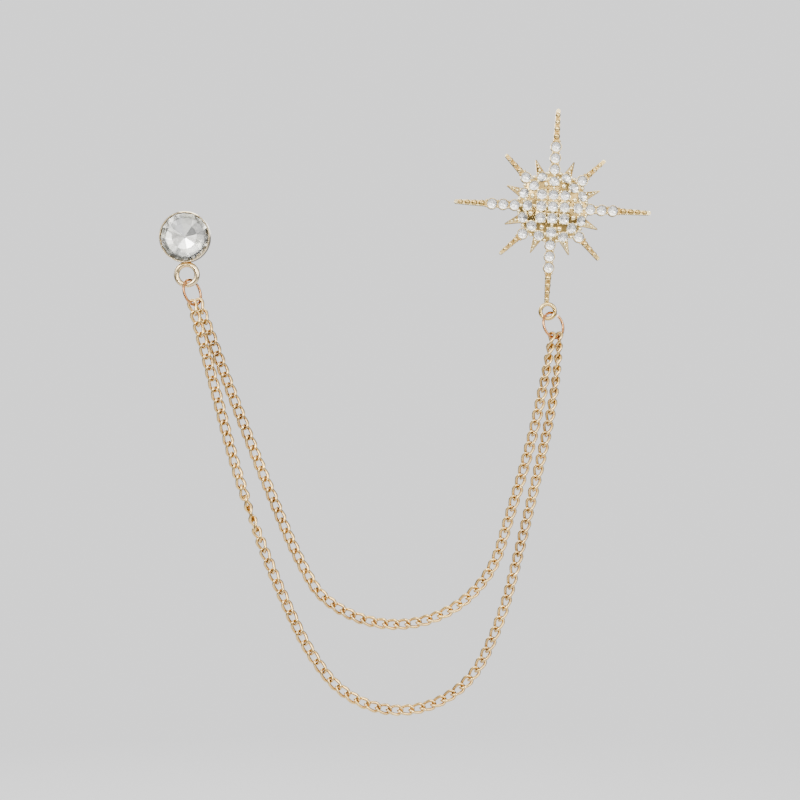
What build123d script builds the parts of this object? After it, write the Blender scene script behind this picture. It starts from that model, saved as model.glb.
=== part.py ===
from build123d import *
import os
from math import asin, atan2, cos, degrees, hypot, radians, sin

# A lapel chain: a star pin and a round stud joined by two hanging curb chains
# X is to the right, Z is up and the front faces -Y. The origin is the middle of the star's back

# Star sizes
STAR_TURN = -3.5
STAR_BACK = 0.0
RAY_THICK = 1.5
DISK_RADIUS = 7.05
DOME_RADIUS = 6.9
DOME_ROOT = 0.6
DOME_EDGE = 1.56
DOME_RISE = 1.55
DOME_BALL = (DOME_RADIUS ** 2 + DOME_RISE ** 2) / (2 * DOME_RISE)
LONG_RAY = 20.0
LONG_RAY_ROOT_HALF = 1.00
LONG_RAY_TIP_HALF = 0.42
SIDE_RAY = 14.3
SIDE_RAY_ROOT_HALF = 0.88
SIDE_RAY_TIP_HALF = 0.36
SPIKE = 10.2
SPIKE_ROOT_HALF = 1.15
SPIKE_ROOT_RADIUS = 6.0
SPIKE_TIP_HALF = 0.12
SPIKE_BACK_INSET = 0.05
SPIKE_SHOULDER = 0.825
SPIKE_RIDGE = 1.575
SPIKE_TIP_RIDGE = 0.975

# Round cut stones of the star
STONE_RADIUS = 0.97
STONE_TABLE_RADIUS = 0.56
STONE_CROWN = 0.30
STONE_GIRDLE = 0.08
STONE_PAVILION = 0.62
STONE_GAP = 0.05
SEAT_WALL = 0.17
SEAT_RISE = 0.08
SEAT_OPENING = 3.0
SEAT_FOOT_RADIUS = 0.12
CUP_DEPTH = 1.0
CUP_INSET = 0.02
GRID_PITCH = 2.35
LONG_RAY_STONES = (7.7, 10.0, 12.3)
SIDE_RAY_STONES = (8.1,)
STONE_RINGS = [
    # (first angle, angle step, count, radius)
    (0, 90, 4, 5.10),
    (45, 90, 4, 5.70),
    (22.5, 45, 8, 6.40),
]

# Round beads on the rays, beyond the stones
RAY_BEADS = [
    # (first angle, distance from the middle, bead radius)
    (0, 14.4, 0.66),
    (0, 15.9, 0.61),
    (0, 17.3, 0.56),
    (0, 18.7, 0.51),
    (45, 10.0, 0.60),
    (45, 11.4, 0.55),
    (45, 12.8, 0.50),
]
PRONG_BEAD = 0.24
PRONG_SIDE = 0.62
PRONG_AHEAD = 1.15
BEAD_SINK = 0.12

# Bail ring of the star
STAR_BAIL_X = -0.97
STAR_BAIL_Z = -21.13
STAR_BAIL_Y = -1.2
STAR_BAIL_RADIUS = 1.465
STAR_BAIL_WIRE = 0.84

# Stud sizes
STUD_X = -74.4
STUD_Z = -6.2
CUP_RADIUS = 5.15
CUP_BACK_RADIUS = 3.1
CUP_SIDE_START = -1.7
CUP_FRONT = -4.45
CUP_LIP = 0.12
CUP_FOOT_RADIUS = 0.15
STUD_STONE_RADIUS = 4.82
STUD_STONE_GIRDLE_Y = -3.95
STUD_STONE_GIRDLE = 0.16
STUD_STONE_CROWN = 1.25
STUD_STONE_TABLE = 2.55
STUD_STONE_PAVILION = 3.0
STUD_STONE_MIDDLE_RISE = 0.775
STUD_STONE_SIDES = 16
STUD_BAIL_X = -74.07
STUD_BAIL_Z = -13.76
STUD_BAIL_Y = -2.7
STUD_BAIL_RADIUS = 2.07
STUD_BAIL_WIRE = 1.13

# Pin posts
POST_RADIUS = 0.55
POST_LENGTH = 8.0
POST_POINT = 1.0
POST_TIP_RADIUS = 0.08
POST_ROOT = 0.5

# Jump rings
JUMP_RADIUS = 2.65
JUMP_WIRE = 0.56
JUMP_CUT = 9.0
JUMP_CUT_AT = 38.0
LEFT_RING_X = -72.98
LEFT_RING_Z = -17.34
LEFT_RING_TURN = 58.0
RIGHT_RING_X = 0.18
RIGHT_RING_Z = -23.95
RIGHT_RING_TURN = 41.0

# Curb chain link: a twisted oval of round wire
LINK_WIRE = 0.45
LINK_HALF = 1.44
LINK_END_HALF = 0.55
LINK_SIDE_HALF = 0.80
LINK_HALF_WIDTH = 1.05
LINK_TWIST = 48.0
LINK_BEND = 0.60
HANG_GAP = 0.74

# Strands: where each starts and ends on its ring, in degrees round from the ring's foot
LONG_LINKS = 82
LONG_START = -25.0
LONG_END = 8.0
LONG_HEADING = -74.7
LONG_RUNS = [
    # (run, bend over it)
    (24.3, -1.3),
    (44.0, 11.3),
    (10.9, 12.6),
    (38.0, 115.3),
    (15.9, 12.5),
    (31.9, 2.0),
    (18.9, 9.2),
]
LONG_ROLLS = [
    # (distance along the strand, roll)
    (0.0, 234.0),
    (8.0, 190.0),
    (30.0, 162.0),
    (38.0, 148.0),
    (43.0, 95.0),
    (49.0, 50.0),
    (55.0, 32.0),
    (70.0, 15.0),
    (90.0, -18.0),
    (165.0, -32.0),
    (172.0, -52.0),
    (184.0, -78.0),
]
SHORT_LINKS = 68
SHORT_START = 25.0
SHORT_END = -38.0
SHORT_HEADING = -70.6
SHORT_RUNS = [
    # (run, bend over it)
    (48.1, 3.1),
    (12.1, 7.2),
    (5.0, 21.6),
    (43.6, 112.6),
    (11.1, -0.9),
    (31.7, 8.4),
]
SHORT_ROLLS = [
    # (distance along the strand, roll)
    (0.0, 54.0),
    (8.0, 5.0),
    (30.0, -12.0),
    (130.0, -22.0),
    (140.0, -32.0),
    (151.7, -72.0),
]


def save(shape, name):
    """Write one piece to its own file."""
    shape.label = name
    export_step(shape, "parts/" + name + ".step")


def star_point(angle, distance, y=0.0):
    """Place on the star at an angle from its own upright and a distance from its middle."""
    turned = radians(90 - angle + STAR_TURN)
    return Vector(distance * cos(turned), y, distance * sin(turned))


def facing_front(point):
    """Plane at a point, looking at the front, with its own y axis up."""
    return Plane(origin=point, x_dir=(1, 0, 0), z_dir=(0, -1, 0))


def dome_front(distance):
    """Y of the star's front at a distance from its middle."""
    if distance >= DOME_RADIUS:
        return STAR_BACK - RAY_THICK
    return STAR_BACK - DOME_EDGE - DOME_RISE + DOME_BALL - (DOME_BALL ** 2 - distance ** 2) ** 0.5


def make_dome():
    """Ball-shaped front of the middle, standing on the disk."""
    middle = STAR_BACK - DOME_EDGE - DOME_RISE + DOME_BALL
    stand = facing_front((0, STAR_BACK - DOME_ROOT, 0)) * Cylinder(
        DOME_RADIUS, DOME_EDGE + DOME_RISE, align=(Align.CENTER, Align.CENTER, Align.MIN))
    return stand & (Pos(0, middle, 0) * Sphere(DOME_BALL))


def ray_outline(angle, length, root_half, tip_half):
    """Outline of a tapered ray with a round tip, seen from the front."""
    straight = length - tip_half
    sides = Polyline((-tip_half, straight), (-root_half, 0), (root_half, 0), (tip_half, straight))
    tip = ThreePointArc((tip_half, straight), (0, length), (-tip_half, straight))
    return Rot(0, 0, STAR_TURN - angle) * make_face(sides + tip)


def make_flat_star():
    """Disk, rays and the round cups of the ray stones, all of one thickness."""
    outline = Circle(DISK_RADIUS)
    for turn in range(4):
        outline += ray_outline(turn * 90, LONG_RAY, LONG_RAY_ROOT_HALF, LONG_RAY_TIP_HALF)
        outline += ray_outline(45 + turn * 90, SIDE_RAY, SIDE_RAY_ROOT_HALF, SIDE_RAY_TIP_HALF)
    for name, angle, distance in stone_sites():
        if name.startswith("ray"):
            place = star_point(angle, distance)
            outline += Pos(place.X, place.Z) * Circle(STONE_RADIUS + SEAT_WALL)
    return extrude(facing_front((0, STAR_BACK, 0)) * outline, RAY_THICK)


def make_spike(angle):
    """Short pointed spike with a ridge along its front."""
    root = SPIKE_ROOT_RADIUS
    half = SPIKE_ROOT_HALF
    back = STAR_BACK - SPIKE_BACK_INSET
    low = STAR_BACK - SPIKE_SHOULDER
    corners = []
    for across in (-half, half):
        for depth in (back, low):
            corners.append((across, root, depth))
    corners.append((0, root, STAR_BACK - SPIKE_RIDGE))
    for across in (-SPIKE_TIP_HALF, SPIKE_TIP_HALF):
        for depth in (back, low):
            corners.append((across, SPIKE, depth))
    corners.append((0, SPIKE, STAR_BACK - SPIKE_TIP_RIDGE))
    placed = []
    for across, along, depth in corners:
        place = star_point(angle, along, depth) + star_point(angle + 90, across)
        placed.append(place)
    return ConvexPolyhedron(placed)


def stone_sites():
    """Name of every stone of the star, and its place as an angle and a distance."""
    sites = []
    number = 0
    for row in (1, 0, -1):
        for column in (-1, 0, 1):
            number += 1
            angle = degrees(atan2(column, row))
            sites.append(("dome_stone_%02d" % number, angle, GRID_PITCH * hypot(row, column)))
    for first, step, count, distance in STONE_RINGS:
        for turn in range(count):
            number += 1
            sites.append(("dome_stone_%02d" % number, first + turn * step, distance))
    number = 0
    for first, distances in ((0, LONG_RAY_STONES), (45, SIDE_RAY_STONES)):
        for turn in range(4):
            for distance in distances:
                number += 1
                sites.append(("ray_stone_%02d" % number, first + turn * 90, distance))
    return sites


def seat_plane(angle, distance):
    """Plane on the star's front, its z axis pointing straight out of the dome."""
    lean = degrees(asin(distance / DOME_BALL)) if distance < DOME_RADIUS else 0.0
    front = dome_front(distance)
    out = star_point(angle, 1)
    normal = Vector(0, -1, 0) * cos(radians(lean)) + out * sin(radians(lean))
    return Plane(origin=star_point(angle, distance, front), x_dir=star_point(angle + 90, 1), z_dir=normal)


def make_stone():
    """Round stone: table, eight-sided crown, thin girdle and eight pavilion facets."""
    points = [(0, 0, -STONE_GIRDLE - STONE_PAVILION)]
    for side in range(8):
        corner = radians(45 * side)
        between = radians(45 * side + 22.5)
        across = STONE_RADIUS * cos(corner)
        along = STONE_RADIUS * sin(corner)
        points.append((across, along, 0))
        points.append((across, along, -STONE_GIRDLE))
        points.append((STONE_TABLE_RADIUS * cos(between), STONE_TABLE_RADIUS * sin(between), STONE_CROWN))
    return ConvexPolyhedron(points)


def seat_cut():
    """Hole that clears a stone by the gap: a straight wall and a cone below it."""
    wide = STONE_RADIUS + STONE_GAP
    depth = STONE_PAVILION + 2 * STONE_GAP
    top = Pos(0, 0, -STONE_GIRDLE - STONE_GAP) * Cylinder(
        wide, SEAT_OPENING, align=(Align.CENTER, Align.CENTER, Align.MIN))
    cone = Pos(0, 0, -STONE_GIRDLE - STONE_GAP - depth / 2) * Cone(SEAT_FOOT_RADIUS, wide, depth)
    return top + cone


def prong_sites():
    """Places of the small beads that hold the stones, as angle and distance."""
    sites = []
    half = GRID_PITCH / 2
    for row in (-3, -1, 1, 3):
        for column in (-3, -1, 1, 3):
            if abs(row) + abs(column) < 6:
                angle = degrees(atan2(column, row))
                sites.append((angle, half * hypot(row, column)))
    for first, distances in ((0, LONG_RAY_STONES), (45, SIDE_RAY_STONES)):
        for turn in range(4):
            angle = first + turn * 90
            for distance in distances:
                for across in (-PRONG_SIDE, PRONG_SIDE):
                    along = distance + PRONG_AHEAD
                    spread = degrees(atan2(across, along))
                    sites.append((angle + spread, hypot(along, across)))
    return sites


def make_ring(plane, radius, wire, cut=0.0, cut_at=0.0):
    """Round wire ring in a plane, with a cut of some degrees at an angle."""
    start = cut_at + cut / 2
    section = Plane(
        origin=plane.from_local_coords((radius * cos(radians(start)), radius * sin(radians(start)), 0)),
        x_dir=plane.from_local_coords((cos(radians(start)), sin(radians(start)), 0)) - plane.origin,
        z_dir=plane.from_local_coords((-sin(radians(start)), cos(radians(start)), 0)) - plane.origin)
    disk = section * Circle(wire / 2)
    return revolve(disk, Axis(plane.origin, plane.z_dir), 360 - cut)


def make_post(x, z, back):
    """Straight pin post behind a piece, with a cone point."""
    straight = POST_LENGTH - POST_POINT
    plane = Plane(origin=(x, back, z), x_dir=(1, 0, 0), z_dir=(0, 1, 0))
    shaft = plane * (Pos(0, 0, -POST_ROOT) * Cylinder(
        POST_RADIUS, straight + POST_ROOT, align=(Align.CENTER, Align.CENTER, Align.MIN)))
    point = plane * (Pos(0, 0, straight + POST_POINT / 2) * Cone(POST_RADIUS, POST_TIP_RADIUS, POST_POINT))
    return shaft + point


def joined(body, pieces):
    """One solid of a body and the pieces that are soldered to it."""
    return body.solid().fuse(*[piece.solid() for piece in pieces]).solid()


def make_star():
    """The whole casting of the star."""
    sites = stone_sites()
    cup = Pos(0, 0, -CUP_DEPTH) * Cylinder(
        STONE_RADIUS + SEAT_WALL - CUP_INSET, CUP_DEPTH + SEAT_RISE,
        align=(Align.CENTER, Align.CENTER, Align.MIN))
    ray_cups = []
    for name, angle, distance in sites:
        if name.startswith("ray"):
            ray_cups.append(seat_plane(angle, distance) * cup)
    body = joined(make_flat_star(), [make_dome()])
    body = joined(body, ray_cups)
    body = joined(body, [make_spike(22.5 + turn * 45) for turn in range(8)])
    cutter = seat_cut()
    seats = [(seat_plane(angle, distance) * cutter).solid() for name, angle, distance in sites]
    body = body.cut(*seats).solid()
    prong = Pos(0, 0, SEAT_RISE) * Sphere(PRONG_BEAD)
    body = joined(body, [seat_plane(angle, distance) * prong for angle, distance in prong_sites()])
    for first, distance, radius in RAY_BEADS:
        places = [star_point(first + turn * 90, distance, BEAD_SINK - RAY_THICK) for turn in range(4)]
        body = joined(body, [Pos(*place) * Sphere(radius) for place in places])
    bail = facing_front((STAR_BAIL_X, STAR_BAIL_Y, STAR_BAIL_Z))
    return joined(body, [make_ring(bail, STAR_BAIL_RADIUS, STAR_BAIL_WIRE), make_post(0, 0, STAR_BACK)])


def make_stud_stone():
    """Large round stone with a table, a double row of crown facets and pointed pavilion facets."""
    step = 360 / STUD_STONE_SIDES
    middle_radius = (STUD_STONE_RADIUS + STUD_STONE_TABLE) / 2
    points = [(0, 0, -STUD_STONE_GIRDLE - STUD_STONE_PAVILION)]
    for side in range(STUD_STONE_SIDES):
        corner = radians(step * side)
        between = radians(step * (side + 0.5))
        points.append((STUD_STONE_RADIUS * cos(corner), STUD_STONE_RADIUS * sin(corner), 0))
        points.append((STUD_STONE_RADIUS * cos(corner), STUD_STONE_RADIUS * sin(corner), -STUD_STONE_GIRDLE))
        points.append((middle_radius * cos(between), middle_radius * sin(between), STUD_STONE_MIDDLE_RISE))
    for side in range(STUD_STONE_SIDES // 2):
        corner = radians(step * (2 * side + 0.5))
        points.append((STUD_STONE_TABLE * cos(corner), STUD_STONE_TABLE * sin(corner), STUD_STONE_CROWN))
    return facing_front((STUD_X, STUD_STONE_GIRDLE_Y, STUD_Z)) * ConvexPolyhedron(points)


def make_cup():
    """Round cup with a straight side, a sloping back and a seat that clears the stone."""
    gap = STONE_GAP
    seat_radius = STUD_STONE_RADIUS + gap
    girdle_back = -(STUD_STONE_GIRDLE_Y + STUD_STONE_GIRDLE) - gap
    culet = girdle_back - STUD_STONE_PAVILION - gap
    side = -CUP_SIDE_START
    front = -CUP_FRONT
    profile = Polyline(
        (0, 0), (CUP_BACK_RADIUS, 0), (CUP_RADIUS, side), (CUP_RADIUS, front - CUP_LIP),
        (CUP_RADIUS - CUP_LIP, front), (seat_radius, front), (seat_radius, girdle_back),
        (CUP_FOOT_RADIUS, culet), (0, culet), (0, 0))
    section = Plane(origin=(STUD_X, 0, STUD_Z), x_dir=(1, 0, 0), z_dir=(0, 0, 1))
    face = section * make_face(mirror(profile, Plane.XZ))
    cup = revolve(face, Axis((STUD_X, 0, STUD_Z), (0, 1, 0)), 360)
    bail = facing_front((STUD_BAIL_X, STUD_BAIL_Y, STUD_BAIL_Z))
    cup += make_ring(bail, STUD_BAIL_RADIUS, STUD_BAIL_WIRE)
    cup += make_post(STUD_X, STUD_Z, 0)
    return cup


def ring_plane(bail, ring, turn):
    """Plane of a jump ring: y axis from its middle to the bail, turned about that line."""
    up = (Vector(*bail) - Vector(*ring)).normalized()
    flat = up.cross(Vector(0, -1, 0))
    across = flat * cos(radians(turn)) + Vector(0, 1, 0) * sin(radians(turn))
    return Plane(origin=ring, x_dir=across, z_dir=across.cross(up))


def ring_foot(plane, angle):
    """Place on a jump ring's wire, round from its foot."""
    turned = radians(angle)
    return plane.from_local_coords((JUMP_RADIUS * sin(turned), -JUMP_RADIUS * cos(turned), 0))


def make_link():
    """One curb link along X: an oval whose two ends are twisted apart, in round wire."""
    side_twist = LINK_TWIST * LINK_SIDE_HALF / LINK_HALF
    corners = [(LINK_HALF, 0, 0)]
    for along, across, twist in (
            (LINK_HALF, LINK_END_HALF, LINK_TWIST),
            (LINK_SIDE_HALF, LINK_HALF_WIDTH, side_twist),
            (-LINK_SIDE_HALF, LINK_HALF_WIDTH, -side_twist),
            (-LINK_HALF, LINK_END_HALF, -LINK_TWIST)):
        turned = radians(twist)
        corners.append((along, across * cos(turned), across * sin(turned)))
    corners.append((-LINK_HALF, 0, 0))
    path = FilletPolyline(*corners, radius=LINK_BEND).wire()
    section = Plane(origin=path @ 0, z_dir=path % 0) * Circle(LINK_WIRE / 2)
    half = sweep(section, path=path)
    return (half + half.rotate(Axis.X, 180)).solid()


def strand_point(start, heading, runs, distance):
    """Place and heading in the X-Z plane at a distance along arcs laid end to end."""
    x, z = start
    angle = radians(heading)
    left = distance
    for run, bend in runs:
        step = min(left, run) if (run, bend) != runs[-1] else left
        turn = radians(bend) * step / run
        chord = step if abs(turn) < 1e-9 else 2 * step / turn * sin(turn / 2)
        x += chord * cos(angle + turn / 2)
        z += chord * sin(angle + turn / 2)
        angle += turn
        left -= step
        if left <= 0:
            break
    return x, z, angle


def roll_at(rolls, distance):
    """Roll of the strand at a distance, straight between the rows of its table."""
    for (before, low), (after, high) in zip(rolls, rolls[1:]):
        if distance <= after:
            return low + (high - low) * (distance - before) / (after - before)
    return rolls[-1][1]


def strand_frames(first_hold, last_hold, heading, runs, rolls, count):
    """Location of every link, the first and last hooked on their rings."""
    length = sum(run for run, bend in runs)
    end_heading = radians(heading + sum(bend for run, bend in runs))
    hang = LINK_HALF - HANG_GAP
    start = first_hold + Vector(cos(radians(heading)), 0, sin(radians(heading))) * hang
    finish = last_hold - Vector(cos(end_heading), 0, sin(end_heading)) * hang
    end_x, end_z = strand_point((start.X, start.Z), heading, runs, length)[:2]
    slip = Vector(finish.X - end_x, finish.Y - start.Y, finish.Z - end_z)
    frames = []
    for index in range(count):
        part = index / (count - 1)
        x, z, angle = strand_point((start.X, start.Z), heading, runs, length * part)
        place = Vector(x, start.Y, z) + slip * part
        along = Vector(cos(angle), 0, sin(angle))
        out = Vector(0, -1, 0)
        across = out.cross(along)
        roll = radians(roll_at(rolls, length * part))
        normal = out * cos(roll) - across * sin(roll)
        frames.append(Plane(origin=place, x_dir=along, z_dir=normal))
    return frames


def make_chain(frames, link):
    """All the links of one strand, each a loose solid."""
    return Compound(children=[link.moved(Location(frame)) for frame in frames])


def main():
    os.makedirs("parts", exist_ok=True)
    save(make_star(), "star_setting")
    stone = make_stone()
    for name, angle, distance in stone_sites():
        save(seat_plane(angle, distance) * stone, name)
    save(make_cup(), "stud_cup")
    save(make_stud_stone(), "stud_stone")

    stud_bail = (STUD_BAIL_X, STUD_BAIL_Y, STUD_BAIL_Z)
    star_bail = (STAR_BAIL_X, STAR_BAIL_Y, STAR_BAIL_Z)
    left = ring_plane(stud_bail, (LEFT_RING_X, STUD_BAIL_Y, LEFT_RING_Z), LEFT_RING_TURN)
    right = ring_plane(star_bail, (RIGHT_RING_X, STAR_BAIL_Y, RIGHT_RING_Z), RIGHT_RING_TURN)
    save(make_ring(left, JUMP_RADIUS, JUMP_WIRE, JUMP_CUT, JUMP_CUT_AT), "left_jump_ring")
    save(make_ring(right, JUMP_RADIUS, JUMP_WIRE, JUMP_CUT, JUMP_CUT_AT), "right_jump_ring")

    link = make_link()
    long_frames = strand_frames(
        ring_foot(left, LONG_START), ring_foot(right, LONG_END),
        LONG_HEADING, LONG_RUNS, LONG_ROLLS, LONG_LINKS)
    short_frames = strand_frames(
        ring_foot(left, SHORT_START), ring_foot(right, SHORT_END),
        SHORT_HEADING, SHORT_RUNS, SHORT_ROLLS, SHORT_LINKS)
    save(make_chain(long_frames, link), "long_chain")
    save(make_chain(short_frames, link), "short_chain")


main()
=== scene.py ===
import math
from itertools import combinations

import bmesh
import bpy
import numpy as np
from mathutils import Matrix, Vector


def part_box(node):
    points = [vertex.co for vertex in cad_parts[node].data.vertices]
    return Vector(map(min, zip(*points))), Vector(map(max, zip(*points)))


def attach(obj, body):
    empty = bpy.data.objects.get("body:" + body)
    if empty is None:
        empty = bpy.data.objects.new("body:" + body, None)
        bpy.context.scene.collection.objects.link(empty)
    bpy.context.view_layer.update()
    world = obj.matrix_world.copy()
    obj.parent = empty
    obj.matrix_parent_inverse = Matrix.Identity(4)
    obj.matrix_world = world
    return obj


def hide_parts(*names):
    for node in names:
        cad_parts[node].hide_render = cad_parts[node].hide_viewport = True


# Lapel chain: a star pin and a round stud joined by two hanging curb chains
# All sizes in the dictionaries are millimetres, and mm turns them into Blender's metres

mm = 0.001

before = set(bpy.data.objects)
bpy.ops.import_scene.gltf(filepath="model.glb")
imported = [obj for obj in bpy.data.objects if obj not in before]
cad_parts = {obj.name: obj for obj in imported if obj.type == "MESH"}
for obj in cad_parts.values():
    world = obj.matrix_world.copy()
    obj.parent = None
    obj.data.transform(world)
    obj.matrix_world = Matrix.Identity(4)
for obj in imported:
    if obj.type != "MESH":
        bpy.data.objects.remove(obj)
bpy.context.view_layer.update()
print("frame loaded:", len(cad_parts), "nodes")


# Small helpers for meshes

def vertsOf(parts):
    return [part for part in parts if isinstance(part, bmesh.types.BMVert)]


def edgesOf(parts):
    return [part for part in parts if isinstance(part, bmesh.types.BMEdge)]


def finishPiece(name, bm, materials, sharpAngle=30):
    bmesh.ops.scale(bm, verts=bm.verts, vec=(mm, mm, mm))
    mesh = bpy.data.meshes.new(name)
    bm.to_mesh(mesh)
    bm.free()
    for material in materials:
        mesh.materials.append(material)
    mesh.shade_smooth()
    mesh.set_sharp_from_angle(angle=math.radians(sharpAngle))
    piece = bpy.data.objects.new(name, mesh)
    bpy.context.scene.collection.objects.link(piece)
    return piece


def placement(origin, xAxis, yAxis, zAxis):
    return Matrix.Translation(origin) @ Matrix((xAxis, yAxis, zAxis)).transposed().to_4x4()


def looking(origin, normal):
    side = Vector((0, 0, 1)).cross(normal)
    side = side.normalized() if side.length > 1e-6 else Vector((1, 0, 0))
    return placement(origin, side, normal.cross(side), normal)


# Node groups shared by the materials

def newGroup(name, inputs, outputs):
    group = bpy.data.node_groups.new(name, "ShaderNodeTree")
    for label, kind in inputs:
        group.interface.new_socket(name=label, in_out="INPUT", socket_type=kind)
    for label, kind in outputs:
        group.interface.new_socket(name=label, in_out="OUTPUT", socket_type=kind)
    start = group.nodes.new("NodeGroupInput")
    end = group.nodes.new("NodeGroupOutput")
    return group, start, end


def mixColour(tree, factor, low, high):
    mix = tree.nodes.new("ShaderNodeMix")
    mix.data_type = "RGBA"
    for socket, value in ((mix.inputs[0], factor), (mix.inputs[6], low), (mix.inputs[7], high)):
        if isinstance(value, bpy.types.NodeSocket):
            tree.links.new(value, socket)
        else:
            socket.default_value = value
    return mix.outputs[2]


def rangeOf(tree, value, fromLow, fromHigh, toLow=0.0, toHigh=1.0):
    node = tree.nodes.new("ShaderNodeMapRange")
    tree.links.new(value, node.inputs["Value"])
    node.inputs["From Min"].default_value = fromLow
    node.inputs["From Max"].default_value = fromHigh
    node.inputs["To Min"].default_value = toLow
    node.inputs["To Max"].default_value = toHigh
    return node.outputs["Result"]


def noiseOf(tree, vector, scale, detail=3.0):
    node = tree.nodes.new("ShaderNodeTexNoise")
    node.inputs["Detail"].default_value = detail
    tree.links.new(vector, node.inputs["Vector"])
    if isinstance(scale, bpy.types.NodeSocket):
        tree.links.new(scale, node.inputs["Scale"])
    else:
        node.inputs["Scale"].default_value = scale
    return node.outputs["Fac"]


def rampOf(tree, value, tones):
    # Colour ramp through pairs of position and colour, lowest first
    ramp = tree.nodes.new("ShaderNodeValToRGB")
    stops = ramp.color_ramp.elements
    for stop, (position, colour) in ((stops[0], tones[0]), (stops[1], tones[-1])):
        stop.position = position
        stop.color = colour
    for position, colour in tones[1:-1]:
        stop = stops.new(position)
        stop.color = colour
    tree.links.new(value, ramp.inputs["Fac"])
    return ramp.outputs["Color"]


surface = {
    # a span gives the noise or curvature at which a mask starts and at which it is full
    "toneSpan": (0.38, 0.68), "patchScale": 0.9, "patchDetail": 4.0, "patchSpan": (0.35, 0.75),
    "lineTurn": (0.4, 0.5, 0.6), "lineStretch": (1.0, 14.0, 14.0), "lineScale": 2.0, "lineDetail": 5.0,
    "lineShare": 0.35, "dentScale": 3.2, "dentDetail": 2.0, "bumpStrength": 0.6,
    # the corner span and most set where painted shade in inner corners starts and how dark it gets
    "edgeSpan": (0.52, 0.62), "edgeMost": 0.7, "cornerShadeSpan": (0.49, 0.40), "cornerShadeMost": 0.8,
}


def makePlatingTone():
    # Slow drift between the plating's light and deep colour
    group, start, end = newGroup("platingTone", [
        ("Vector", "NodeSocketVector"),
        ("Patch Scale", "NodeSocketFloat"),
        ("Light", "NodeSocketColor"),
        ("Deep", "NodeSocketColor"),
    ], [("Color", "NodeSocketColor")])
    patch = noiseOf(group, start.outputs["Vector"], start.outputs["Patch Scale"])
    factor = rangeOf(group, patch, *surface["toneSpan"])
    colour = mixColour(group, factor, start.outputs["Light"], start.outputs["Deep"])
    group.links.new(colour, end.inputs["Color"])
    return group


def makeFineWear():
    # Polishing lines, small dents and dull patches
    group, start, end = newGroup("fineWear", [
        ("Vector", "NodeSocketVector"),
        ("Smooth", "NodeSocketFloat"),
        ("Dull", "NodeSocketFloat"),
    ], [("Roughness", "NodeSocketFloat"), ("Height", "NodeSocketFloat")])
    patches = noiseOf(group, start.outputs["Vector"], surface["patchScale"], surface["patchDetail"])
    stretch = group.nodes.new("ShaderNodeMapping")
    stretch.inputs["Rotation"].default_value = surface["lineTurn"]
    stretch.inputs["Scale"].default_value = surface["lineStretch"]
    group.links.new(start.outputs["Vector"], stretch.inputs["Vector"])
    lines = noiseOf(group, stretch.outputs["Vector"], surface["lineScale"], surface["lineDetail"])
    dents = noiseOf(group, start.outputs["Vector"], surface["dentScale"], surface["dentDetail"])
    spread = rangeOf(group, patches, *surface["patchSpan"])
    mix = group.nodes.new("ShaderNodeMix")
    group.links.new(spread, mix.inputs[0])
    group.links.new(start.outputs["Smooth"], mix.inputs[2])
    group.links.new(start.outputs["Dull"], mix.inputs[3])
    total = group.nodes.new("ShaderNodeMath")
    total.operation = "MULTIPLY_ADD"
    total.inputs[1].default_value = surface["lineShare"]
    group.links.new(lines, total.inputs[0])
    group.links.new(dents, total.inputs[2])
    group.links.new(mix.outputs[0], end.inputs["Roughness"])
    group.links.new(total.outputs["Value"], end.inputs["Height"])
    return group


def makeEdgeRubAndCornerShade():
    # Rubbed outer edges, and painted shade darkening the inner corners, from the mesh's own curvature
    group, start, end = newGroup("edgeRubAndCornerShade", [
        ("Color", "NodeSocketColor"),
        ("Edge Color", "NodeSocketColor"),
        ("Corner Color", "NodeSocketColor"),
    ], [("Color", "NodeSocketColor")])
    curvature = group.nodes.new("ShaderNodeNewGeometry").outputs["Pointiness"]
    edge = rangeOf(group, curvature, *surface["edgeSpan"], 0.0, surface["edgeMost"])
    corner = rangeOf(group, curvature, *surface["cornerShadeSpan"], 0.0, surface["cornerShadeMost"])
    rubbed = mixColour(group, edge, start.outputs["Color"], start.outputs["Edge Color"])
    shaded = mixColour(group, corner, rubbed, start.outputs["Corner Color"])
    group.links.new(shaded, end.inputs["Color"])
    return group


platingTone = makePlatingTone()
fineWear = makeFineWear()
edgeRubAndCornerShade = makeEdgeRubAndCornerShade()


# Materials

def newMaterial(name):
    material = bpy.data.materials.new(name)
    material.use_nodes = True
    tree = material.node_tree
    tree.nodes.clear()
    output = tree.nodes.new("ShaderNodeOutputMaterial")
    shader = tree.nodes.new("ShaderNodeBsdfPrincipled")
    tree.links.new(shader.outputs["BSDF"], output.inputs["Surface"])
    coordinate = tree.nodes.new("ShaderNodeTexCoord")
    mapping = tree.nodes.new("ShaderNodeMapping")
    mapping.inputs["Scale"].default_value = (1 / mm, 1 / mm, 1 / mm)  # pattern sizes in millimetres
    tree.links.new(coordinate.outputs["Object"], mapping.inputs["Vector"])
    return material, tree, shader, mapping.outputs["Vector"]


def addGroup(tree, group, vector=None, **values):
    node = tree.nodes.new("ShaderNodeGroup")
    node.node_tree = group
    if vector is not None:
        tree.links.new(vector, node.inputs["Vector"])
    for label, value in values.items():
        socket = node.inputs[label.replace("_", " ")]
        if isinstance(value, bpy.types.NodeSocket):
            tree.links.new(value, socket)
        else:
            socket.default_value = value
    return node


def bumpOf(tree, shader, height, depth):
    bump = tree.nodes.new("ShaderNodeBump")
    bump.inputs["Strength"].default_value = surface["bumpStrength"]
    bump.inputs["Distance"].default_value = depth * mm
    tree.links.new(height, bump.inputs["Height"])
    tree.links.new(bump.outputs["Normal"], shader.inputs["Normal"])


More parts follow.
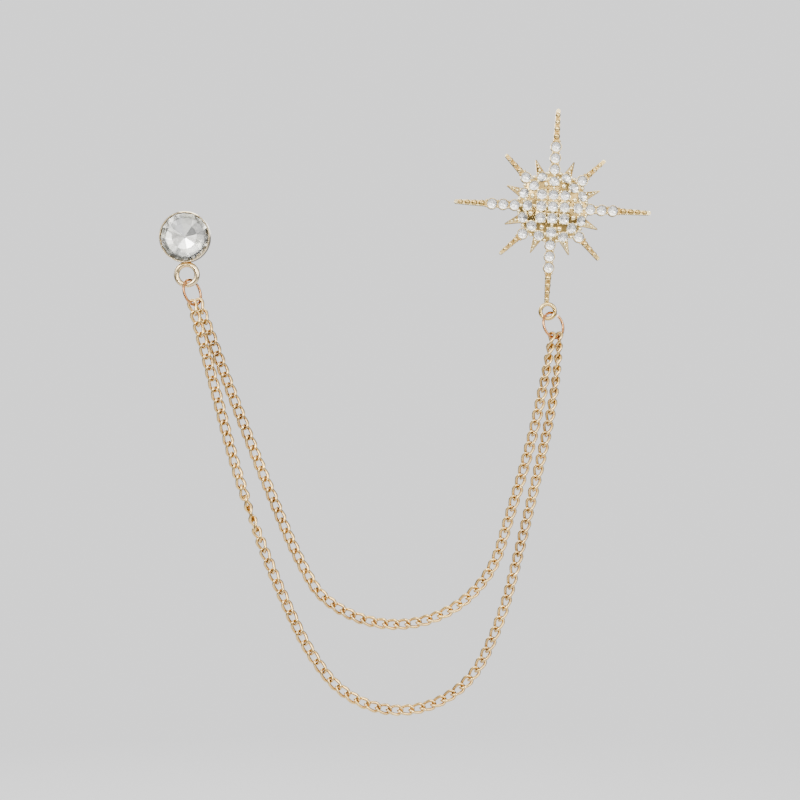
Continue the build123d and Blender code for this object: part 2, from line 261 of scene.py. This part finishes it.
def domeShadeMask(tree, vector, look):
    # Mask of painted shade on the dome between the stones: one on the front of the dome, nought on the
    # rays and the back
    part = tree.nodes.new("ShaderNodeSeparateXYZ")
    tree.links.new(vector, part.inputs["Vector"])
    flat = tree.nodes.new("ShaderNodeCombineXYZ")
    tree.links.new(part.outputs["X"], flat.inputs["X"])
    tree.links.new(part.outputs["Z"], flat.inputs["Z"])
    reach = tree.nodes.new("ShaderNodeVectorMath")
    reach.operation = "LENGTH"
    tree.links.new(flat.outputs["Vector"], reach.inputs[0])
    mask = tree.nodes.new("ShaderNodeMath")
    mask.operation = "MULTIPLY"
    near = rangeOf(tree, reach.outputs["Value"], *look["recessReach"], 1.0, 0.0)
    front = rangeOf(tree, part.outputs["Y"], *look["recessDepth"], 1.0, 0.0)
    tree.links.new(near, mask.inputs[0])
    tree.links.new(front, mask.inputs[1])
    return mask.outputs["Value"]


def makeGold(name, look):
    material, tree, shader, vector = newMaterial(name)
    tone = addGroup(
        tree, platingTone, vector, Patch_Scale=look["patch"], Light=look["light"], Deep=look["deep"])
    # worn outer edges, and painted shade in the inner corners
    rubAndShade = addGroup(
        tree, edgeRubAndCornerShade, Color=tone.outputs["Color"], Edge_Color=look["edge"], Corner_Color=look["corner"])
    wear = addGroup(tree, fineWear, vector, Smooth=look["smooth"], Dull=look["dull"])
    colour = rubAndShade.outputs["Color"]
    # painted shade over the front of the dome, between the stones
    if "recess" in look:
        colour = mixColour(tree, domeShadeMask(tree, vector, look), colour, look["recess"])
    tree.links.new(colour, shader.inputs["Base Color"])
    tree.links.new(wear.outputs["Roughness"], shader.inputs["Roughness"])
    shader.inputs["Metallic"].default_value = 1.0
    bumpOf(tree, shader, wear.outputs["Height"], look["bump"])
    return material


# each corner colour is painted shade for the inner corners
goldLooks = {
    "starGold": {
        "light": (0.74, 0.54, 0.21, 1), "deep": (0.50, 0.32, 0.09, 1), "edge": (1.0, 0.86, 0.52, 1),
        # the dome colour and its reach and depth paint shade on the dome between the stones
        "corner": (0.18, 0.09, 0.02, 1), "recess": (0.36, 0.24, 0.08, 1),
        "recessReach": (6.6, 7.4), "recessDepth": (-1.2, -0.9),
        "smooth": 0.12, "dull": 0.26, "patch": 0.25, "bump": 0.020,
    },
    "beadGold": {
        "light": (0.86, 0.65, 0.27, 1), "deep": (0.64, 0.43, 0.13, 1), "edge": (1.0, 0.90, 0.58, 1),
        "corner": (0.20, 0.10, 0.02, 1), "smooth": 0.10, "dull": 0.20, "patch": 0.60, "bump": 0.008,
    },
    "studGold": {
        "light": (0.80, 0.64, 0.38, 1), "deep": (0.62, 0.44, 0.20, 1), "edge": (1.0, 0.90, 0.68, 1),
        "corner": (0.26, 0.13, 0.04, 1), "smooth": 0.10, "dull": 0.22, "patch": 0.20, "bump": 0.012,
    },
    "ringGold": {
        "light": (0.62, 0.32, 0.13, 1), "deep": (0.38, 0.15, 0.05, 1), "edge": (0.96, 0.68, 0.42, 1),
        "corner": (0.20, 0.06, 0.02, 1), "smooth": 0.12, "dull": 0.24, "patch": 0.40, "bump": 0.010,
    },
    "chainGold": {
        "light": (0.58, 0.355, 0.085, 1), "deep": (0.32, 0.16, 0.03, 1), "edge": (0.96, 0.74, 0.38, 1),
        "corner": (0.14, 0.05, 0.01, 1), "smooth": 0.11, "dull": 0.22, "patch": 0.12, "bump": 0.012,
    },
}
golds = {name: makeGold(name, look) for name, look in goldLooks.items()}


crystal = {"whiteAfterGrey": 0.06, "warmShare": 0.66, "ior": 1.56, "foilBump": 0.004, "sameFacet": 2.0}


def facetTintAndShade(tree, look):
    # One colour for each flat facet, picked by the way it faces on the stone: painted shade in grey on
    # some facets, and white running to a faint warm tint on the others
    facet = tree.nodes.new("ShaderNodeNewGeometry")
    pick = noiseOf(tree, facet.outputs["True Normal"], look["variety"], 0.0)
    return rampOf(tree, pick, [
        (look["shadedFacetShare"], look["grey"]),
        (look["shadedFacetShare"] + crystal["whiteAfterGrey"], look["white"]),
        (crystal["warmShare"], look["warm"]),
    ])


def makeCutGlass(name, look):
    material, tree, shader, vector = newMaterial(name)
    wear = addGroup(tree, fineWear, vector, Smooth=0.0, Dull=look["film"])
    tree.links.new(wear.outputs["Roughness"], shader.inputs["Roughness"])
    # base colour with painted shade in grey on some facets
    tree.links.new(facetTintAndShade(tree, look), shader.inputs["Base Color"])
    shader.inputs["Transmission Weight"].default_value = 1.0
    shader.inputs["IOR"].default_value = crystal["ior"]
    return material


def makeFoil(name, look):
    # Silvered back of a stone
    material, tree, shader, vector = newMaterial(name)
    wear = addGroup(tree, fineWear, vector, Smooth=look["smooth"], Dull=look["dull"])
    # base colour with painted shade in grey on some facets
    tree.links.new(facetTintAndShade(tree, look), shader.inputs["Base Color"])
    tree.links.new(wear.outputs["Roughness"], shader.inputs["Roughness"])
    shader.inputs["Metallic"].default_value = 1.0
    bumpOf(tree, shader, wear.outputs["Height"], crystal["foilBump"])
    return material


# grey is painted shade on some facets of each stone; white and warm are the stone's own tint
stoneLooks = {
    "smallGlass": {
        "variety": 9.0, "shadedFacetShare": 0.38, "grey": (0.80, 0.80, 0.80, 1), "white": (1.0, 1.0, 1.0, 1),
        "warm": (1.0, 0.99, 0.96, 1), "film": 0.03,
    },
    "studGlass": {
        "variety": 14.0, "shadedFacetShare": 0.44, "grey": (0.40, 0.40, 0.38, 1), "white": (1.0, 1.0, 1.0, 1),
        "warm": (1.0, 1.0, 0.96, 1), "film": 0.02,
    },
    "smallFoil": {
        "variety": 3.0, "shadedFacetShare": 0.36, "grey": (0.62, 0.62, 0.62, 1), "white": (1.0, 1.0, 1.0, 1),
        "warm": (1.0, 0.98, 0.93, 1), "smooth": 0.16, "dull": 0.34,
    },
    "studFoil": {
        "variety": 4.0, "shadedFacetShare": 0.36, "grey": (0.60, 0.60, 0.58, 1), "white": (1.0, 1.0, 1.0, 1),
        "warm": (1.0, 1.0, 0.94, 1), "smooth": 0.12, "dull": 0.20,
    },
}
smallGlass = makeCutGlass("smallGlass", stoneLooks["smallGlass"])
studGlass = makeCutGlass("studGlass", stoneLooks["studGlass"])
smallFoil = makeFoil("smallFoil", stoneLooks["smallFoil"])
studFoil = makeFoil("studFoil", stoneLooks["studFoil"])
print("materials built:", len(bpy.data.materials))


# Star casting, stud cup and jump rings keep their own solids

castNodes = {
    "star_setting": "starGold",
    "stud_cup": "studGold",
    "left_jump_ring": "ringGold",
    "right_jump_ring": "ringGold",
}
for nodeName, goldName in castNodes.items():
    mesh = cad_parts[nodeName].data
    mesh.materials.clear()
    mesh.materials.append(golds[goldName])
print("castings finished")


# Small cut stones of the star

smallStone = {
    "sides": 16, "radius": 0.97, "table": 0.56, "crown": 0.30, "middle": 0.80, "middleRise": 0.155,
    "girdle": 0.08, "pavilion": 0.24, "foot": 0.10, "belly": 0.60, "bellyDepth": 0.11,
    "seatDepth": 0.62,
}
dome = {"ball": 16.13, "top": 3.11}


def facetRing(bm, sides, radius, height, turn):
    matrix = Matrix.Translation((0, 0, height)) @ Matrix.Rotation(math.radians(turn), 4, "Z")
    bmesh.ops.create_circle(bm, segments=sides, radius=radius, matrix=matrix)


def closeFacets(bm, girdle):
    bmesh.ops.convex_hull(bm, input=bm.verts)
    loose = [edge for edge in bm.edges if not edge.link_faces]
    bmesh.ops.delete(bm, geom=loose, context="EDGES")
    sameFacet = math.radians(crystal["sameFacet"])
    bmesh.ops.dissolve_limit(bm, angle_limit=sameFacet, verts=bm.verts, edges=bm.edges)
    bmesh.ops.recalc_face_normals(bm, faces=bm.faces)
    foilTop = -girdle / 4  # the foil reaches up round the girdle
    for face in bm.faces:
        face.material_index = 1 if face.calc_center_median().z < foilTop else 0


def makeSmallStone(size):
    bm = bmesh.new()
    fewer = size["sides"] // 2
    turn = 360 / size["sides"]
    facetRing(bm, fewer, size["table"], size["crown"], turn)
    facetRing(bm, fewer, size["middle"], size["middleRise"], 0)
    facetRing(bm, size["sides"], size["radius"], 0, 0)
    facetRing(bm, size["sides"], size["radius"], -size["girdle"], 0)
    facetRing(bm, fewer, size["belly"], -size["girdle"] - size["bellyDepth"], turn)
    facetRing(bm, fewer, size["foot"], -size["girdle"] - size["pavilion"], turn)
    closeFacets(bm, size["girdle"])
    return bm


def stoneSite(nodeName):
    low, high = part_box(nodeName)
    middle = (Vector(low) + Vector(high)) / 2 / mm
    normal = Vector((0, -1, 0))
    if nodeName.startswith("dome"):
        normal = (middle - Vector((0, dome["ball"] - dome["top"], 0))).normalized()
    backToFront = (smallStone["girdle"] + smallStone["seatDepth"] - smallStone["crown"]) / 2
    return middle + normal * backToFront, normal


stoneNodes = sorted(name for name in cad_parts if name.startswith(("dome_stone", "ray_stone")))
stoneSites = {name: stoneSite(name) for name in stoneNodes}
for nodeName, (place, normal) in stoneSites.items():
    bm = makeSmallStone(smallStone)
    bmesh.ops.transform(bm, matrix=looking(place, normal), verts=bm.verts)
    stone = finishPiece("crystal_" + nodeName, bm, [smallGlass, smallFoil], sharpAngle=1)
    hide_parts(nodeName)
    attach(stone, "root")
print("small stones set:", len(stoneSites))


# Beads raised between the stones, and thin bright rims round the stones

pave = {
    "beadReach": 3.40, "beadRadius": 0.40, "beadOverlap": 0.10, "beadSink": 0.10, "beadGap": 0.42,
    "prongs": 4, "prongFirst": 45.0, "prongDistance": 1.14, "prongRadius": 0.27,
    "gapBeads": 8, "gapBeadFirst": 28.5, "gapBeadDistance": 4.70, "gapBeadRadius": 0.60,
    "spikes": 8, "spikeFirst": 26.0, "spikeBeads": ((7.9, 0.36), (8.7, 0.29), (9.35, 0.21)),
    "ridgeRoot": (6.0, -1.575), "ridgeTip": (10.2, -0.975), "beadSides": 12,
    "rimWire": 0.055, "rimGap": 0.10, "rimSides": 6, "rimSteps": 28,
}


def addBead(bm, place, radius):
    bmesh.ops.create_uvsphere(
        bm, u_segments=pave["beadSides"], v_segments=pave["beadSides"] // 2 + 1, radius=radius,
        matrix=Matrix.Translation(place))


def addRim(bm, radius, wire):
    turned = Matrix.Translation((radius, 0, 0)) @ Matrix.Rotation(math.radians(90), 4, "X")
    ring = bmesh.ops.create_circle(bm, segments=pave["rimSides"], radius=wire, matrix=turned)["verts"]
    ringEdges = list({edge for vert in ring for edge in vert.link_edges})
    bmesh.ops.spin(
        bm, geom=ring + ringEdges, axis=(0, 0, 1), cent=(0, 0, 0), angle=math.radians(360),
        steps=pave["rimSteps"], use_merge=True)


def evenAngles(first, count):
    return [math.radians(first + number * 360 / count) for number in range(count)]


def middleBeads():
    # Half way between neighbouring stones
    for one, other in combinations(stoneNodes, 2):
        placeOne, normalOne = stoneSites[one]
        placeTwo, normalTwo = stoneSites[other]
        apart = (placeOne - placeTwo).length
        onRays = one.startswith("ray") and other.startswith("ray")
        if apart < pave["beadReach"] and not onRays:
            middle = (placeOne + placeTwo) / 2 - (normalOne + normalTwo).normalized() * pave["beadSink"]
            yield middle, min(pave["beadRadius"], apart / 2 - smallStone["radius"] + pave["beadOverlap"])


def prongBeads():
    # Round each stone of the dome
    for name in stoneNodes:
        if name.startswith("dome"):
            for angle in evenAngles(pave["prongFirst"], pave["prongs"]):
                turned = looking(*stoneSites[name]) @ Matrix.Rotation(angle, 4, "Z")
                yield turned @ Vector((pave["prongDistance"], 0, 0)), pave["prongRadius"]


def gapBeads():
    # On the bare gold between the grid of stones and the ring of stones
    ballMiddle = Vector((0, dome["ball"] - dome["top"], 0))
    lean = math.asin(pave["gapBeadDistance"] / dome["ball"])
    for angle in evenAngles(pave["gapBeadFirst"], pave["gapBeads"]):
        out = Vector((math.sin(lean) * math.sin(angle), -math.cos(lean), math.sin(lean) * math.cos(angle)))
        yield ballMiddle + out * (dome["ball"] - pave["beadSink"]), pave["gapBeadRadius"]


def spikeBeads():
    # Along the ridge of each short spike, sunk by a third of their radius
    rootReach, rootDepth = pave["ridgeRoot"]
    tipReach, tipDepth = pave["ridgeTip"]
    for angle in evenAngles(pave["spikeFirst"], pave["spikes"]):
        for reach, radius in pave["spikeBeads"]:
            depth = rootDepth + (tipDepth - rootDepth) * (reach - rootReach) / (tipReach - rootReach)
            yield Vector((reach * math.sin(angle), depth + radius / 3, reach * math.cos(angle))), radius


def makeBeads():
    bm = bmesh.new()
    made = []
    for beads in (middleBeads(), prongBeads(), gapBeads(), spikeBeads()):
        for place, radius in beads:
            crowded = any((place - other).length < pave["beadGap"] for other in made)
            covered = any(
                (place - stone).length < smallStone["radius"] for stone, normal in stoneSites.values())
            if not crowded and not covered:
                addBead(bm, place, radius)
                made.append(place)
    print("beads:", len(made))
    return bm


def makeRims():
    whole = bmesh.new()
    rim = bmesh.new()
    addRim(rim, smallStone["radius"] + pave["rimGap"], pave["rimWire"])
    bmesh.ops.recalc_face_normals(rim, faces=rim.faces)
    rimMesh = bpy.data.meshes.new("rim_pattern")
    rim.to_mesh(rimMesh)
    rim.free()
    for place, normal in stoneSites.values():
        before = len(whole.verts)
        whole.from_mesh(rimMesh)
        whole.verts.ensure_lookup_table()
        bmesh.ops.transform(whole, matrix=looking(place, normal), verts=whole.verts[before:])
    bpy.data.meshes.remove(rimMesh)
    return whole


for pieceName, makeMesh in (("pave_beads", makeBeads), ("stone_rims", makeRims)):
    piece = finishPiece(pieceName, makeMesh(), [golds["beadGold"]])
    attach(piece, "root")
print("beads and rims made")


# Large stone of the stud

studStone = {
    "radius": 4.82, "table": 2.55, "crown": 1.25, "girdle": 0.16, "pavilion": 0.95,
    "sides": 16, "belly": 2.90, "bellyDepth": 0.45, "foot": 0.35, "girdleY": -3.95,
}


def makeStudStone(size):
    bm = bmesh.new()
    halfStep = 180 / size["sides"]
    facetRing(bm, size["sides"], size["table"], size["crown"], halfStep)
    facetRing(bm, size["sides"], size["radius"], 0, 0)
    facetRing(bm, size["sides"], size["radius"], -size["girdle"], 0)
    facetRing(bm, size["sides"] // 2, size["belly"], -size["girdle"] - size["bellyDepth"], halfStep)
    facetRing(bm, size["sides"] // 2, size["foot"], -size["girdle"] - size["pavilion"], halfStep)
    closeFacets(bm, size["girdle"])
    return bm


studLow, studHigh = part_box("stud_stone")
studMiddle = (Vector(studLow) + Vector(studHigh)) / 2 / mm
bm = makeStudStone(studStone)
studPlace = Vector((studMiddle.x, studStone["girdleY"], studMiddle.z))
bmesh.ops.transform(bm, matrix=looking(studPlace, Vector((0, -1, 0))), verts=bm.verts)
studCrystal = finishPiece("stud_crystal", bm, [studGlass, studFoil], sharpAngle=1)
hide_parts("stud_stone")
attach(studCrystal, "root")
print("stud stone set")


# Curb chains: one twisted link, repeated where each link of the frame lies

link = {
    "wire": 0.66, "half": 1.485, "endHalf": 0.48, "sideHalf": 0.74, "halfWidth": 0.86,
    "bend": 0.52, "twist": 48.0, "roll": -12.0, "wireSides": 8, "stepLength": 0.34, "stepTurn": 20.0,
    "merge": 0.01, "sharpAngle": 60,
}
sameVertex = 1e-7  # metres
strands = {
    "long_curb_chain": "long_chain",
    "short_curb_chain": "short_chain",
}


def linkMoves(size):
    # Straight runs and turns once round the flat loop, from the middle of one end
    across = size["halfWidth"] - size["endHalf"]
    along = size["half"] - size["sideHalf"]
    corner = math.degrees(math.atan2(across, along))
    endTurn = 90 - corner
    endCut = size["bend"] * math.tan(math.radians(endTurn / 2))
    sideCut = size["bend"] * math.tan(math.radians(corner / 2))
    end = size["endHalf"] - endCut
    slope = math.hypot(across, along) - endCut - sideCut
    side = 2 * (size["sideHalf"] - sideCut)
    return [
        (end, endTurn), (slope, corner), (side, corner), (slope, endTurn), (2 * end, endTurn),
        (slope, corner), (side, corner), (slope, endTurn), (end, 0),
    ]


def makeLink(size):
    bm = bmesh.new()
    place = Vector((size["half"], 0, 0))
    matrix = Matrix.Translation(place) @ Matrix.Rotation(math.radians(90), 4, "X")
    ring = bmesh.ops.create_circle(
        bm, segments=size["wireSides"], radius=size["wire"] / 2, matrix=matrix)["verts"]
    edges = list({edge for vert in ring for edge in vert.link_edges})
    heading = Vector((0, 1, 0))
    for run, turn in linkMoves(size):
        steps = max(1, round(run / size["stepLength"]))
        for step in range(steps):
            grown = bmesh.ops.extrude_edge_only(bm, edges=edges)["geom"]
            bmesh.ops.translate(bm, verts=vertsOf(grown), vec=heading * run / steps)
            edges = [edge for edge in edgesOf(grown) if edge.is_boundary]
        place = place + heading * run
        if turn:
            centre = place + Vector((-heading.y, heading.x, 0)) * size["bend"]
            rim = list({vert for edge in edges for vert in edge.verts})
            spun = bmesh.ops.spin(
                bm, geom=rim + edges, axis=(0, 0, 1), cent=centre, angle=math.radians(turn),
                steps=round(turn / size["stepTurn"]))
            edges = edgesOf(spun["geom_last"])
            turned = Matrix.Rotation(math.radians(turn), 3, "Z")
            place = centre + turned @ (place - centre)
            heading = turned @ heading
    bmesh.ops.remove_doubles(bm, verts=bm.verts, dist=size["merge"])
    bmesh.ops.recalc_face_normals(bm, faces=bm.faces)
    for vert in bm.verts:
        angle = math.radians(size["roll"] + size["twist"] * vert.co.x / size["half"])
        bmesh.ops.rotate(bm, verts=[vert], cent=(0, 0, 0), matrix=Matrix.Rotation(angle, 3, "X"))
    mesh = bpy.data.meshes.new("link_pattern")
    bm.to_mesh(mesh)
    bm.free()
    return mesh


def linkPlaces(nodeName):
    # Middle and three axes of every loose link in a node, from how its surface is spread
    bm = bmesh.new()
    bm.from_mesh(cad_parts[nodeName].data)
    bmesh.ops.remove_doubles(bm, verts=bm.verts, dist=sameVertex)
    left = set(bm.faces)
    places = []
    while left:
        first = left.pop()
        island = [first]
        for face in island:
            for edge in face.edges:
                for other in edge.link_faces:
                    if other in left:
                        left.remove(other)
                        island.append(other)
        points = np.array([face.calc_center_median() for face in island]) / mm
        areas = np.array([face.calc_area() for face in island])
        centre = np.average(points, axis=0, weights=areas)
        spread = np.cov((points - centre).T, aweights=areas)
        axes = np.linalg.eigh(spread)[1]
        along = Vector(axes[:, 2])
        along = along if along.x > 0 else -along
        across = Vector(axes[:, 1])
        across = across if across.z > 0 else -across
        places.append(placement(Vector(centre), along, across, along.cross(across)))
    bm.free()
    return places


linkMesh = makeLink(link)
for chainName, nodeName in strands.items():
    places = linkPlaces(nodeName)
    bm = bmesh.new()
    for place in places:
        before = len(bm.verts)
        bm.from_mesh(linkMesh)
        bm.verts.ensure_lookup_table()
        bmesh.ops.transform(bm, matrix=place, verts=bm.verts[before:])
    chain = finishPiece(chainName, bm, [golds["chainGold"]], sharpAngle=link["sharpAngle"])
    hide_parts(nodeName)
    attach(chain, "root")
    print(chainName, "has", len(places), "links and", len(chain.data.polygons), "faces")


# Floor, lights, surroundings and camera

studio = {
    "focus": (-30.94, -2.0, -39.12), "lens": 100.0, "sensor": 36.0, "frameWidth": 162.1,
    "clipStart": 0.01,
    "floorHeight": -200.0, "floorRadius": 6000.0, "floorSides": 96, "fadeStart": 250.0, "fadeEnd": 650.0,
    "floorTones": (0.80, 0.83), "floorRoughness": 0.9, "floorSeenByMetal": 0.35,
    "grainScale": 0.6, "grainDetail": 6.0, "grainSpan": (0.4, 0.6),
    "pale": (0.90, 0.90, 0.905, 1), "paleStrength": 1.5,
    "roomStrength": (0.35, 2.80), "roomPatch": 2.6, "roomDetail": 2.0, "roomSpan": (0.42, 0.58),
    "frontToBack": (-0.95, 0.35), "before": 2.2, "behind": 0.32,
    "roomTones": (
        # height in the room from 0 to 1, and its colour
        (0.0, (0.45, 0.44, 0.43, 1)), (0.42, (0.20, 0.19, 0.18, 1)), (0.52, (0.50, 0.49, 0.48, 1)),
        (0.72, (1.0, 0.99, 0.97, 1)), (1.0, (0.70, 0.71, 0.74, 1)),
    ),
}
lamps = {
    # name: place, width, height, watts
    "keyLamp": ((-420, -520, 380), 260, 260, 2.8),
    "fillLamp": ((480, -460, 60), 300, 360, 1.7),
    "frontLamp": ((-30, -1200, 330), 900, 300, 1.8),
    "topLamp": ((-30, 60, 520), 400, 300, 2.2),
    "backLamp": ((-200, 620, 240), 400, 400, 2.6),
    "sparkLampLeft": ((-190, -560, -30), 30, 30, 0.3),
    "sparkLampRight": ((150, -560, 140), 30, 30, 0.3),
}


def makeFloor():
    bm = bmesh.new()
    bmesh.ops.create_circle(
        bm, cap_ends=True, segments=studio["floorSides"], radius=studio["floorRadius"],
        matrix=Matrix.Translation((0, 0, studio["floorHeight"])))
    material, tree, shader, vector = newMaterial("paleFloor")
    grain = noiseOf(tree, vector, studio["grainScale"], studio["grainDetail"])
    dark, light = ((grey, grey, grey, 1) for grey in studio["floorTones"])
    tone = mixColour(tree, rangeOf(tree, grain, *studio["grainSpan"]), dark, light)
    tree.links.new(tone, shader.inputs["Base Color"])
    shader.inputs["Roughness"].default_value = studio["floorRoughness"]
    glow = tree.nodes.new("ShaderNodeEmission")
    glow.inputs["Color"].default_value = studio["pale"]
    seen = tree.nodes.new("ShaderNodeLightPath").outputs["Is Camera Ray"]
    glowStrength = rangeOf(tree, seen, 0, 1, studio["floorSeenByMetal"], studio["paleStrength"])
    tree.links.new(glowStrength, glow.inputs["Strength"])
    distance = tree.nodes.new("ShaderNodeVectorMath")
    distance.operation = "LENGTH"
    tree.links.new(vector, distance.inputs[0])
    fade = rangeOf(tree, distance.outputs["Value"], studio["fadeStart"], studio["fadeEnd"])
    blend = tree.nodes.new("ShaderNodeMixShader")
    tree.links.new(fade, blend.inputs["Fac"])
    tree.links.new(shader.outputs["BSDF"], blend.inputs[1])
    tree.links.new(glow.outputs["Emission"], blend.inputs[2])
    output = next(node for node in tree.nodes if node.type == "OUTPUT_MATERIAL")
    tree.links.new(blend.outputs["Shader"], output.inputs["Surface"])
    floor = finishPiece("pale_floor", bm, [material])


def makeLamps():
    aim = Vector(studio["focus"])
    for name, (place, width, height, watts) in lamps.items():
        light = bpy.data.lights.new(name, "AREA")
        light.shape = "RECTANGLE"
        light.size = width * mm
        light.size_y = height * mm
        light.energy = watts
        lamp = bpy.data.objects.new(name, light)
        lamp.location = Vector(place) * mm
        lamp.rotation_euler = (aim - Vector(place)).to_track_quat("-Z", "Y").to_euler()
        bpy.context.scene.collection.objects.link(lamp)


def makeSurroundings():
    # The view sees a plain pale room, and the metal sees a darker one with soft bright parts
    world = bpy.data.worlds.new("studioRoom")
    bpy.context.scene.world = world
    world.use_nodes = True
    tree = world.node_tree
    tree.nodes.clear()
    direction = tree.nodes.new("ShaderNodeTexCoord").outputs["Generated"]
    split = tree.nodes.new("ShaderNodeSeparateXYZ")
    tree.links.new(direction, split.inputs["Vector"])
    colour = rampOf(tree, rangeOf(tree, split.outputs["Z"], -1, 1), studio["roomTones"])
    noise = noiseOf(tree, direction, studio["roomPatch"], studio["roomDetail"])
    patches = rangeOf(tree, noise, *studio["roomSpan"], *studio["roomStrength"])
    dimming = rangeOf(
        tree, split.outputs["Y"], *studio["frontToBack"], studio["before"], studio["behind"])
    strength = tree.nodes.new("ShaderNodeMath")
    strength.operation = "MULTIPLY"
    tree.links.new(patches, strength.inputs[0])
    tree.links.new(dimming, strength.inputs[1])
    room = tree.nodes.new("ShaderNodeBackground")
    tree.links.new(colour, room.inputs["Color"])
    tree.links.new(strength.outputs["Value"], room.inputs["Strength"])
    plain = tree.nodes.new("ShaderNodeBackground")
    plain.inputs["Color"].default_value = studio["pale"]
    plain.inputs["Strength"].default_value = studio["paleStrength"]
    seen = tree.nodes.new("ShaderNodeLightPath").outputs["Is Camera Ray"]
    blend = tree.nodes.new("ShaderNodeMixShader")
    output = tree.nodes.new("ShaderNodeOutputWorld")
    tree.links.new(seen, blend.inputs["Fac"])
    tree.links.new(room.outputs["Background"], blend.inputs[1])
    tree.links.new(plain.outputs["Background"], blend.inputs[2])
    tree.links.new(blend.outputs["Shader"], output.inputs["Surface"])


def makeCamera():
    data = bpy.data.cameras.new("photoCamera")
    data.lens = studio["lens"]
    data.sensor_width = studio["sensor"]
    data.clip_start = studio["clipStart"]
    camera = bpy.data.objects.new("photoCamera", data)
    distance = studio["frameWidth"] * studio["lens"] / studio["sensor"]
    camera.location = (Vector(studio["focus"]) - Vector((0, distance, 0))) * mm
    camera.rotation_euler = (math.radians(90), 0, 0)
    bpy.context.scene.collection.objects.link(camera)
    bpy.context.scene.camera = camera


makeFloor()
makeLamps()
makeSurroundings()
makeCamera()
print("studio ready")
